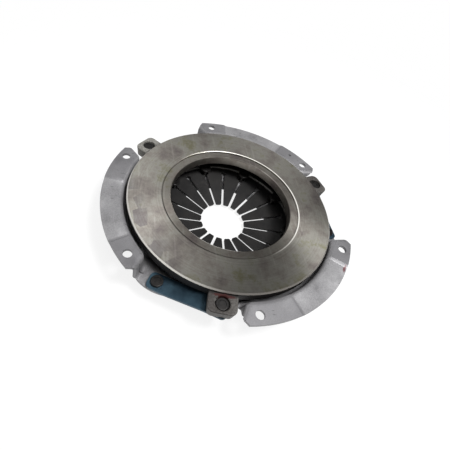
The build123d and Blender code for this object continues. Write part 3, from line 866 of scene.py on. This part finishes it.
for window in range(WINDOWS):
    turn = Matrix.Rotation(radians(FIRST_WINDOW_ANGLE + window * 360 / WINDOWS), 3, "Z")
    along = turn @ Vector((0, 1, 0))
    for leaf in range(LEAVES):
        cad_name = f"drive_strap_{window + 1}_leaf_{leaf + 1}"
        shape = bmesh.new()
        shape.from_mesh(nodes[cad_name].data)
        for i in range(LEAF_SLICES + 1):
            across = STRAP_FREE_HALF * (2 * i / LEAF_SLICES - 1)
            bmesh.ops.bisect_plane(
                shape,
                geom=shape.verts[:] + shape.edges[:] + shape.faces[:],
                plane_co=along * across,
                plane_no=along,
            )
        mesh = bpy.data.meshes.new(f"strap_{window + 1}_spring_leaf_{leaf + 1}")
        shape.to_mesh(mesh)
        shape.free()
        mesh.materials.clear()
        mesh.materials.append(blued_spring)
        piece = bpy.data.objects.new(mesh.name, mesh)
        bpy.context.scene.collection.objects.link(piece)
        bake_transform(piece)
        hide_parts(cad_name)
print("Strap leaves:", WINDOWS * LEAVES)

# %% [markdown]
# ## Diaphragm spring
# The spring is one slotted cone that tilts on two wire rings: as the plate goes back, its rim
# follows the plate and its fingers swing the other way. A piece can bend in one way only, so the
# spring is made as eighteen fingers inside the ring circle and eighteen rim sectors outside it.
# Each is a thin sheet on the spring's middle surface, with a grid that follows the slots, and is
# thickened by a modifier to the spring's full thickness.

# %% Spring sizes
FINGERS = 18
FIRST_SLOT_ANGLE = 10.0
TIP_R = 24.1 * MM
TIP_CORNER = 1.1 * MM        # radius of the rounded corners of a finger's tip
CONE_ANGLE = radians(10.7)
SPRING_T = 2.3 * MM
WIRE_D = 3.4 * MM
SLOT_HALF = 1.35 * MM
RIVET_HOLE = (67.5 * MM, 4.55 * MM)   # distance from the axis and radius of a slot's end hole
PLAIN_HOLE = (65.0 * MM, 2.7 * MM)

spring_low, spring_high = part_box("diaphragm_spring")
SPRING_R = spring_high[0]
FULCRUM_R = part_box("fulcrum_ring_upper")[1][0] - WIRE_D / 2   # circle of the wire rings
TIP_MIDDLE_Z = spring_low[2] + SPRING_T / 2 / cos(CONE_ANGLE)   # the tips are the lowest place


def middle_z(r):
    """Height of the spring's middle surface."""
    return TIP_MIDDLE_Z + (r - TIP_R) * tan(CONE_ANGLE)


def slot_gap(r, hole):
    """Half the width of a slot at a radius, with its end hole and the tip's rounded corner."""
    hole_r, hole_size = hole
    inside_hole = hole_size**2 - (r - hole_r) ** 2
    round_part = sqrt(inside_hole) if inside_hole > 0 else 0.0
    straight_part = SLOT_HALF if r < hole_r else 0.0
    into_corner = max(0.0, TIP_CORNER - (r - TIP_R))
    corner_part = TIP_CORNER - sqrt(max(0.0, TIP_CORNER**2 - into_corner**2))
    return max(round_part, straight_part) + corner_part


print("Spring rises", round((middle_z(SPRING_R) - middle_z(TIP_R)) / MM, 1), "mm from tip to rim")

# %% Sheets of the spring
def spread(low, high, steps):
    """Evenly spaced values, both ends included."""
    return [low + (high - low) * i / steps for i in range(steps + 1)]


def spring_sheet(name, radii, edges, columns):
    """A patch of the middle surface: for each radius, the two angles that bound it."""
    points = []
    for r, (low_angle, high_angle) in zip(radii, edges):
        for angle in spread(low_angle, high_angle, columns):
            points.append((r * cos(angle), r * sin(angle), middle_z(r)))
    width = columns + 1
    faces = []
    for row in range(len(radii) - 1):
        for column in range(columns):
            corner = row * width + column
            faces.append((corner, corner + width, corner + width + 1, corner + 1))
    mesh = bpy.data.meshes.new(name)
    mesh.from_pydata(points, [], faces)
    mesh.materials.append(hardened_spring)
    piece = bpy.data.objects.new(name, mesh)
    bpy.context.scene.collection.objects.link(piece)
    thick = piece.modifiers.new("thickness", "SOLIDIFY")
    thick.thickness = SPRING_T
    thick.offset = 0.0
    return piece


# The rows are close together at the rounded tip and beside the holes, and wider between them.
PLAIN_FROM, PLAIN_TO = 28 * MM, 60 * MM
HOLES_FROM = 61.5 * MM
TIP_STEPS, PLAIN_STEPS, HOLE_STEPS, RIM_STEPS = 4, 8, 24, 10
finger_radii = (
    spread(TIP_R, TIP_R + TIP_CORNER, TIP_STEPS)
    + spread(PLAIN_FROM, PLAIN_TO, PLAIN_STEPS)
    + spread(HOLES_FROM, FULCRUM_R, HOLE_STEPS)
)
rim_radii = spread(FULCRUM_R, SPRING_R, RIM_STEPS)
print("Rows of a finger and of a rim sector:", len(finger_radii), len(rim_radii))

# %% Fingers and rim
FINGER_COLUMNS, RIM_COLUMNS = 8, 6
HALF_PITCH = pi / FINGERS

for i in range(FINGERS):
    middle = radians(FIRST_SLOT_ANGLE + (i + 0.5) * 360 / FINGERS)
    low_hole, high_hole = (RIVET_HOLE, PLAIN_HOLE) if i % 2 == 0 else (PLAIN_HOLE, RIVET_HOLE)
    finger_edges = [
        (
            middle - HALF_PITCH + asin(slot_gap(r, low_hole) / r),
            middle + HALF_PITCH - asin(slot_gap(r, high_hole) / r),
        )
        for r in finger_radii
    ]
    rim_edges = [(middle - HALF_PITCH, middle + HALF_PITCH) for r in rim_radii]
    finger = spring_sheet(f"spring_finger_{i + 1}", finger_radii, finger_edges, FINGER_COLUMNS)
    rim = spring_sheet(f"spring_rim_{i + 1}", rim_radii, rim_edges, RIM_COLUMNS)

    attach(finger, "cover")
    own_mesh(finger)
    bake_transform(rim)
    for piece in (finger, rim):
        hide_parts("diaphragm_spring")
print("Spring pieces:", 2 * FINGERS)

# %% [markdown]
# ## Size of the dressed part
# The box of the dressed part is printed. The dressed part has to stay inside the imported
# model's box.

# %% Write the sizes
low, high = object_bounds()
print("Visual box in mm:", [round((b - a) / MM, 1) for a, b in zip(low, high)])
